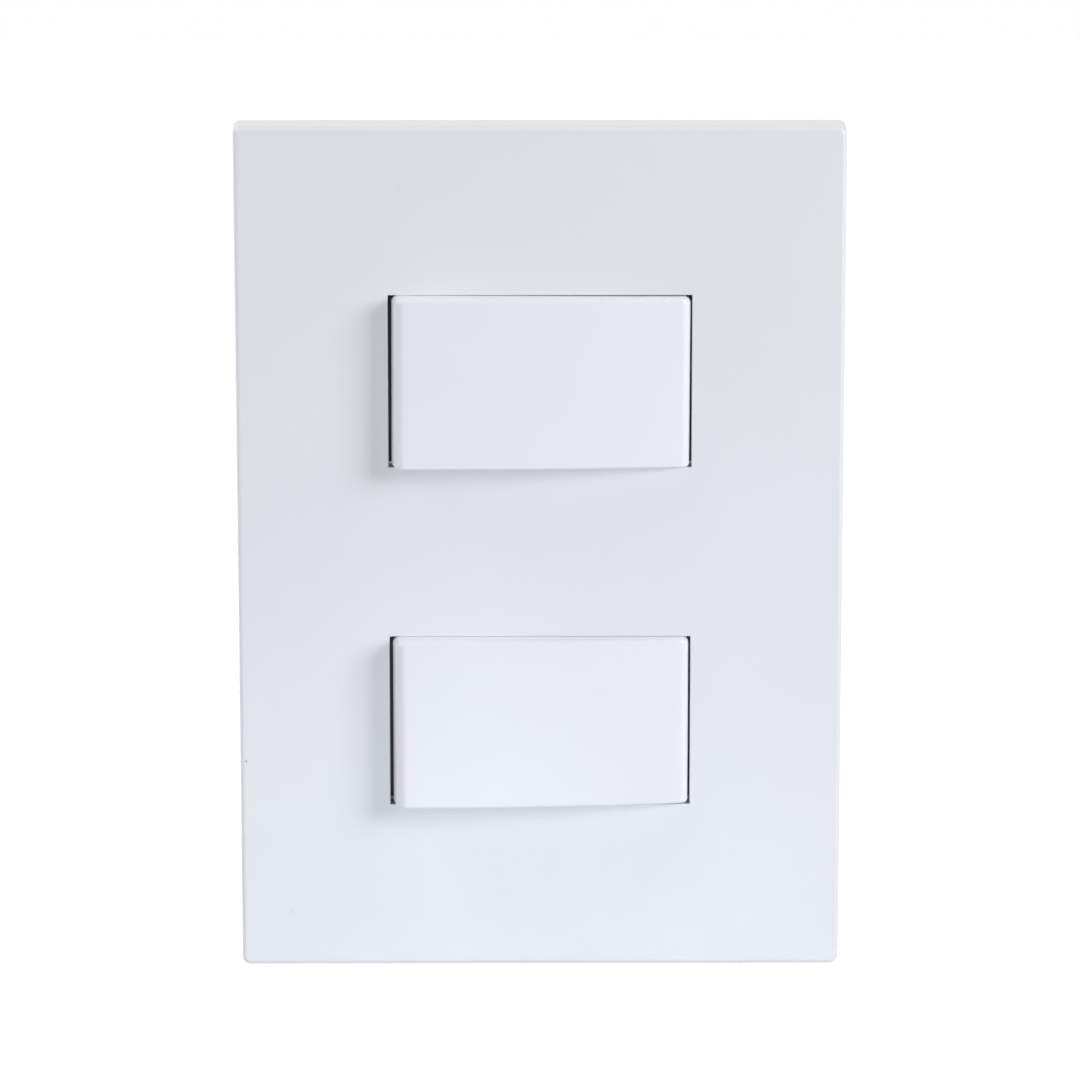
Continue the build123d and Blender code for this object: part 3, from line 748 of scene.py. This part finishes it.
def key_play(name):
    """Lift and turn of a key about its module's middle, as it lies in its clearance."""
    lift, turn = KEY_PLAY[name]
    middle = Matrix.Translation((0, 0, module_centre(name)))
    return Matrix.Translation((0, 0, lift)) @ middle @ Matrix.Rotation(turn, 4, "Y") @ middle.inverted()


class LIGHT_SWITCH_OT_keys(bpy.types.Operator):
    """Model one rocker key with its plunger tube, ribs and trunnions, and copy it to each module"""

    bl_idname = "light_switch.keys"
    bl_label = "Rocker Keys"

    def execute(self, context):
        sizes = context.scene.switch_key
        pivot = JOINTS[f"{MODULES[0]}_key_tilt"]["pos_m"][1]
        key = key_cap(sizes)
        combine(key, key_tube(sizes, pivot), "UNION")
        for side in SIDES:
            combine(key, key_rib(sizes, pivot, side), "UNION")
            combine(key, key_trunnion(sizes, pivot, side), "UNION")
        clean(key)
        finish = moulded(
            "smooth_white_plastic", context.scene.switch_finishes.key,
            roughness=0.3, grain=0.0004, relief=1e-6, gloss=0.015,
        )
        for name in MODULES:
            twin = copy_of(key, f"{name}_rocker_key")
            place(twin, key_play(name) @ key_tilt(name))
            smooth(twin)
            dress(twin, f"{name}_rocker", "key_plastic", finish, f"{name}_key")
        remove(key)
        return {"FINISHED"}


FLANK_RISE, FLANK_TOP, FLANK_FALL = 0.34, 0.46, 0.80  # ends of a thread's flanks and crest, in pitches
LEAD_TURNS, SPARE_TURNS = 1.5, 3  # turns wound before the rod's start, and in all beyond its length
THREAD_STEPS, SLEEVE_SIDES, HEAD_STEPS, HEAD_ARC_STEPS = 28, 48, 56, 6


def threaded_rod(name, sizes, length):
    """Threaded rod that stands on z = 0, closed at both ends."""
    root, crest, pitch = sizes.radius - sizes.thread_depth, sizes.radius, sizes.pitch
    turns = int(length / pitch) + SPARE_TURNS
    flank = [(root, 0), (crest, FLANK_RISE), (crest, FLANK_TOP), (root, FLANK_FALL), (root, 1)]
    rod = add_line(name, [(r, 0, (step - LEAD_TURNS) * pitch) for r, step in flank])
    apply_modifier(
        rod, "SCREW", axis="Z", angle=2 * pi, screw_offset=pitch, iterations=turns,
        steps=THREAD_STEPS, render_steps=THREAD_STEPS, use_merge_vertices=False,
    )
    clean(rod)
    with editing(rod):
        for z, way in ((0, -1), (length, 1)):
            pick_all()
            bpy.ops.mesh.bisect(
                plane_co=(0, 0, z), plane_no=(0, 0, way), clear_outer=True, use_fill=True, threshold=CUT
            )
    clean(rod)
    return rod


def bevel_tip(rod, sizes, length):
    """Cone off the end of a rod, by keeping what lies in a bevelled sleeve."""
    deselect()
    bpy.ops.mesh.primitive_cylinder_add(
        vertices=SLEEVE_SIDES, radius=sizes.radius + sizes.thread_depth, depth=2 * length,
        location=(0, 0, 0),
    )
    sleeve = bpy.context.object
    with editing(sleeve):
        bevel = sizes.tip_bevel + sizes.thread_depth
        round_edges(sleeve, lambda a, b: min(a.z, b.z) > length - NEAR, bevel, steps=1)
    combine(rod, sleeve, "INTERSECT")


def driver_slot(piece, sizes, top, radius):
    """Saw a driver slot across the end of a screw that stands on z."""
    low = (-2 * radius, -sizes.slot / 2, top - sizes.slot_depth)
    high = (2 * radius, sizes.slot / 2, top + radius)
    combine(piece, add_block("slot", low, high), "DIFFERENCE")


def screw_head(sizes, neck_length):
    """Head and neck of a box screw, turned about z with the head's front at the top."""
    top = neck_length + sizes.head_height
    corner = sizes.head - sizes.head_edge
    turns = [pi / 2 * step / HEAD_ARC_STEPS for step in range(HEAD_ARC_STEPS + 1)]
    arc = [
        (corner + sizes.head_edge * sin(turn), top - sizes.head_edge + sizes.head_edge * cos(turn))
        for turn in turns
    ]
    under = [(sizes.head, neck_length), (sizes.neck, neck_length), (sizes.neck, 0), (0, 0)]
    outline = [(0, top), *arc, *under]
    head = add_line("head", [(r, 0, z) for r, z in outline])
    with editing(head):
        pick_all()
        bpy.ops.mesh.spin(steps=HEAD_STEPS, angle=2 * pi, center=(0, 0, 0), axis=(0, 0, 1))
    clean(head)
    return head


class LIGHT_SWITCH_OT_box_screws(bpy.types.Operator):
    """Turn the two box screws with their threads, necks and slotted heads"""

    bl_idname = "light_switch.box_screws"
    bl_label = "Box Screws"

    def execute(self, context):
        sizes = context.scene.switch_screw
        finish = drawn_metal("zinc_plate", context.scene.switch_finishes.zinc, roughness=0.38)
        low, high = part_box(f"{MODULES[0]}_box_screw")
        thread_length = high.y - sizes.neck_rear
        neck_length = -low.y - sizes.head_height + sizes.neck_rear
        screw = threaded_rod("box_screw", sizes, thread_length)
        bevel_tip(screw, sizes, thread_length)
        place(screw, Matrix.Rotation(pi, 4, "X"))
        combine(screw, screw_head(sizes, neck_length), "UNION")
        driver_slot(screw, sizes, neck_length + sizes.head_height, sizes.head)
        clean(screw)
        for name in MODULES:
            low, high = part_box(f"{name}_box_screw")
            twin = copy_of(screw, f"{name}_threaded_box_screw")
            middle = ((low.x + high.x) / 2, sizes.neck_rear, (low.z + high.z) / 2)
            place(twin, Matrix.Translation(middle) @ TO_ROOM)
            smooth(twin)
            dress(twin, "housing", "zinc_steel", finish, f"{name}_box_screw")
        remove(screw)
        return {"FINISHED"}


class LIGHT_SWITCH_OT_terminal_screws(bpy.types.Operator):
    """Turn the headless terminal screws with their threads and slots"""

    bl_idname = "light_switch.terminal_screws"
    bl_label = "Terminal Screws"

    def execute(self, context):
        sizes = context.scene.switch_screw
        finish = bpy.data.materials["zinc_plate"]
        low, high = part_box(f"{MODULES[0]}_load_screw")
        length = high.x - low.x
        screw = threaded_rod("terminal_screw", sizes, length)
        driver_slot(screw, sizes, length, sizes.radius)
        clean(screw)
        for name in MODULES:
            for terminal, side in (("common", -1), ("load", 1)):
                node = f"{name}_{terminal}_screw"
                low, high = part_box(node)
                start = Vector((low.x if side > 0 else high.x, (low.y + high.y) / 2, (low.z + high.z) / 2))
                turn = TO_RIGHT if side > 0 else TO_RIGHT.inverted()
                twin = copy_of(screw, f"{name}_threaded_{terminal}_screw")
                place(twin, Matrix.Translation(start) @ turn)
                smooth(twin)
                dress(twin, "housing", "zinc_steel", finish, node)
        remove(screw)
        return {"FINISHED"}


WIRE_SIDES, COIL_STEPS = 12, 40


class LIGHT_SWITCH_OT_springs(bpy.types.Operator):
    """Wind the plunger springs from round wire, one for each module"""

    bl_idname = "light_switch.springs"
    bl_label = "Plunger Springs"

    def execute(self, context):
        sizes = context.scene.switch_spring
        finish = drawn_metal("spring_steel", context.scene.switch_finishes.spring, roughness=0.3)
        deselect()
        bpy.ops.mesh.primitive_circle_add(
            vertices=WIRE_SIDES, radius=sizes.wire, location=(sizes.coil, 0, sizes.start),
            rotation=(pi / 2, 0, 0),
        )
        spring = bpy.context.object
        apply_place()
        apply_modifier(
            spring, "SCREW", axis="Z", angle=2 * pi, screw_offset=(sizes.end - sizes.start) / sizes.turns,
            iterations=sizes.turns, steps=COIL_STEPS, render_steps=COIL_STEPS, use_merge_vertices=False,
        )
        clean(spring)
        with editing(spring):
            pick_all()
            bpy.ops.mesh.fill_holes(sides=0)
            pick_all()
            bpy.ops.mesh.normals_make_consistent(inside=False)
        for name in MODULES:
            twin = copy_of(spring, f"{name}_coil_spring")
            place(twin, key_tilt(name) @ TO_ROOM)
            smooth(twin)
            dress(twin, f"{name}_rocker", "spring_steel", finish, f"{name}_spring")
            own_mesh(twin)
        remove(spring)
        return {"FINISHED"}


class LIGHT_SWITCH_OT_housing(bpy.types.Operator):
    """Finish the mounting frame, the carriers, the bases and the plungers"""

    bl_idname = "light_switch.housing"
    bl_label = "Frame and Modules"

    def execute(self, context):
        colours = context.scene.switch_finishes
        grey = moulded("grey_frame_plastic", colours.frame, roughness=0.5, grain=0.0003, relief=4e-6)
        finish_nodes(grey, ["mounting_frame"])
        charcoal = moulded(
            "charcoal_plastic", colours.module, roughness=0.42, grain=0.0003, relief=4e-6, change=0.12
        )
        finish_nodes(charcoal, in_modules("carrier", "base"))
        nylon = moulded(
            "natural_nylon", colours.nylon, roughness=0.4, grain=0.0004, relief=2e-6, change=0.03
        )
        finish_nodes(nylon, in_modules("plunger"))
        return {"FINISHED"}


class LIGHT_SWITCH_OT_contacts(bpy.types.Operator):
    """Finish the terminals, the blades and the contact pads"""

    bl_idname = "light_switch.contacts"
    bl_label = "Terminals and Contacts"

    def execute(self, context):
        colours = context.scene.switch_finishes
        brass = drawn_metal("rolled_brass", colours.brass, roughness=0.32, stretch=ROLLED)
        finish_nodes(brass, in_modules("common_terminal", "load_terminal", "blade"))
        silver = drawn_metal("contact_silver", colours.silver, roughness=0.28)
        finish_nodes(silver, in_modules("moving_contact", "fixed_contact"))
        return {"FINISHED"}


LAMPS = (  # name, place, size, power, colour and shadow of each lamp, aimed at the plate
    ("key_lamp", (0.76, -0.56, 0.36), 0.45, 6.4, (0.94, 0.957, 1.0), True),
    ("edge_lamp", (-0.57, -0.03, 0.57), 0.30, 2.8, (1.0, 1.0, 1.0), True),
    ("low_lamp", (0.0, -0.30, -0.16), 0.16, 0.30, (0.75, 0.86, 1.0), False),
    ("rear_lamp", (-0.70, 0.45, -0.25), 0.40, 2.5, (1.0, 1.0, 1.0), True),
)
FLOOR_COLOUR = (0.90, 0.90, 0.90)
FLOOR_ROUGHNESS = 0.9
FLOOR_GLOW = 0.75  # makes the lit floor look white
FLOOR_SIZE = 40
WORLD_LIGHT = 0.34


def seen_by_eye(tree):
    """1 for rays that the camera sees directly, in a mirror or through glass, and 0 for light."""
    path = tree.nodes.new("ShaderNodeLightPath")
    seen = path.outputs["Is Camera Ray"]
    for name in ("Is Glossy Ray", "Is Transmission Ray"):
        seen = larger(tree, seen, path.outputs[name])
    return seen


def white_world():
    """A world that gives soft light and looks white."""
    world = bpy.data.worlds.new("white_studio")
    world.use_nodes = True
    tree = world.node_tree
    level = tree.nodes.new("ShaderNodeMapRange")
    level.inputs["To Min"].default_value = WORLD_LIGHT
    level.inputs["To Max"].default_value = 1.0
    tree.links.new(seen_by_eye(tree), level.inputs["Value"])
    background = tree.nodes["Background"]
    background.inputs["Color"].default_value = (1, 1, 1, 1)
    tree.links.new(level.outputs["Result"], background.inputs["Strength"])
    bpy.context.scene.world = world


def floor_finish():
    """Pale floor that takes the object's shadow and looks white where it is lit."""
    material, tree, shader = new_finish("pale_floor", FLOOR_COLOUR, FLOOR_ROUGHNESS)
    shader.inputs["Emission Color"].default_value = (1, 1, 1, 1)
    level = tree.nodes.new("ShaderNodeMath")
    level.operation = "MULTIPLY"
    level.inputs[1].default_value = FLOOR_GLOW
    tree.links.new(seen_by_eye(tree), level.inputs[0])
    tree.links.new(level.outputs["Value"], shader.inputs["Emission Strength"])
    return material


class LIGHT_SWITCH_OT_stage(bpy.types.Operator):
    """Set up the floor, the world, the lamps and the camera"""

    bl_idname = "light_switch.stage"
    bl_label = "Stage"

    def execute(self, context):
        studio = context.scene.switch_studio
        deselect()
        level = PLATE_LOW.z - studio.floor_drop
        bpy.ops.mesh.primitive_plane_add(size=FLOOR_SIZE, location=(0, 0, level))
        floor = context.object
        floor.name = "floor"
        floor.data.materials.append(floor_finish())
        white_world()
        aim = Vector((0, PLATE_LOW.y, studio.aim))
        for name, spot, width, power, shade, shadow in LAMPS:
            bpy.ops.object.light_add(type="AREA", location=spot)
            lamp = context.object
            lamp.name = name
            lamp.data.size = width
            lamp.data.energy = power
            lamp.data.color = shade
            lamp.data.use_shadow = shadow
            lamp.rotation_euler = (aim - Vector(spot)).to_track_quat("-Z", "Y").to_euler()
            lamp.visible_camera = False
        away = Vector((
            sin(studio.azimuth) * cos(studio.elevation),
            -cos(studio.azimuth) * cos(studio.elevation),
            sin(studio.elevation),
        ))
        bpy.ops.object.camera_add(location=aim + away * studio.distance)
        camera = context.object
        camera.name = "camera"
        camera.rotation_euler = (-away).to_track_quat("-Z", "Y").to_euler()
        camera.data.lens = studio.lens
        context.scene.camera = camera
        context.scene.view_settings.view_transform = "Standard"
        return {"FINISHED"}


PIECES = (
    LIGHT_SWITCH_OT_face_plate, LIGHT_SWITCH_OT_keys, LIGHT_SWITCH_OT_box_screws,
    LIGHT_SWITCH_OT_terminal_screws, LIGHT_SWITCH_OT_springs, LIGHT_SWITCH_OT_housing,
    LIGHT_SWITCH_OT_contacts, LIGHT_SWITCH_OT_stage,
)
SETTINGS = {
    "switch_plate": PlateSizes, "switch_key": KeySizes, "switch_screw": ScrewSizes,
    "switch_spring": SpringSizes, "switch_finishes": Finishes, "switch_studio": Studio,
}


class LIGHT_SWITCH_PT_panel(bpy.types.Panel):
    """Steps and sizes of the wall light switch"""

    bl_idname = "LIGHT_SWITCH_PT_panel"
    bl_label = "Light Switch"
    bl_space_type = "VIEW_3D"
    bl_region_type = "UI"
    bl_category = "Light Switch"

    def draw(self, context):
        for piece in PIECES:
            self.layout.operator(piece.bl_idname)
        for setting, group in SETTINGS.items():
            box = self.layout.box()
            for name in group.__annotations__:
                box.prop(getattr(context.scene, setting), name)


def register():
    """Register the settings, the operators and the panel."""
    for group in SETTINGS.values():
        bpy.utils.register_class(group)
    for setting, group in SETTINGS.items():
        setattr(bpy.types.Scene, setting, PointerProperty(type=group))
    for piece in (*PIECES, LIGHT_SWITCH_PT_panel):
        bpy.utils.register_class(piece)


def unregister():
    """Take them all out again, last one first."""
    for piece in reversed((*PIECES, LIGHT_SWITCH_PT_panel)):
        bpy.utils.unregister_class(piece)
    for setting in SETTINGS:
        delattr(bpy.types.Scene, setting)
    for group in reversed(SETTINGS.values()):
        bpy.utils.unregister_class(group)


def main():
    """Model, finish and stage the switch."""
    register()
    bpy.ops.light_switch.face_plate()
    bpy.ops.light_switch.keys()
    bpy.ops.light_switch.box_screws()
    bpy.ops.light_switch.terminal_screws()
    bpy.ops.light_switch.springs()
    bpy.ops.light_switch.housing()
    bpy.ops.light_switch.contacts()
    bpy.ops.light_switch.stage()


if __name__ == "__main__":
    main()
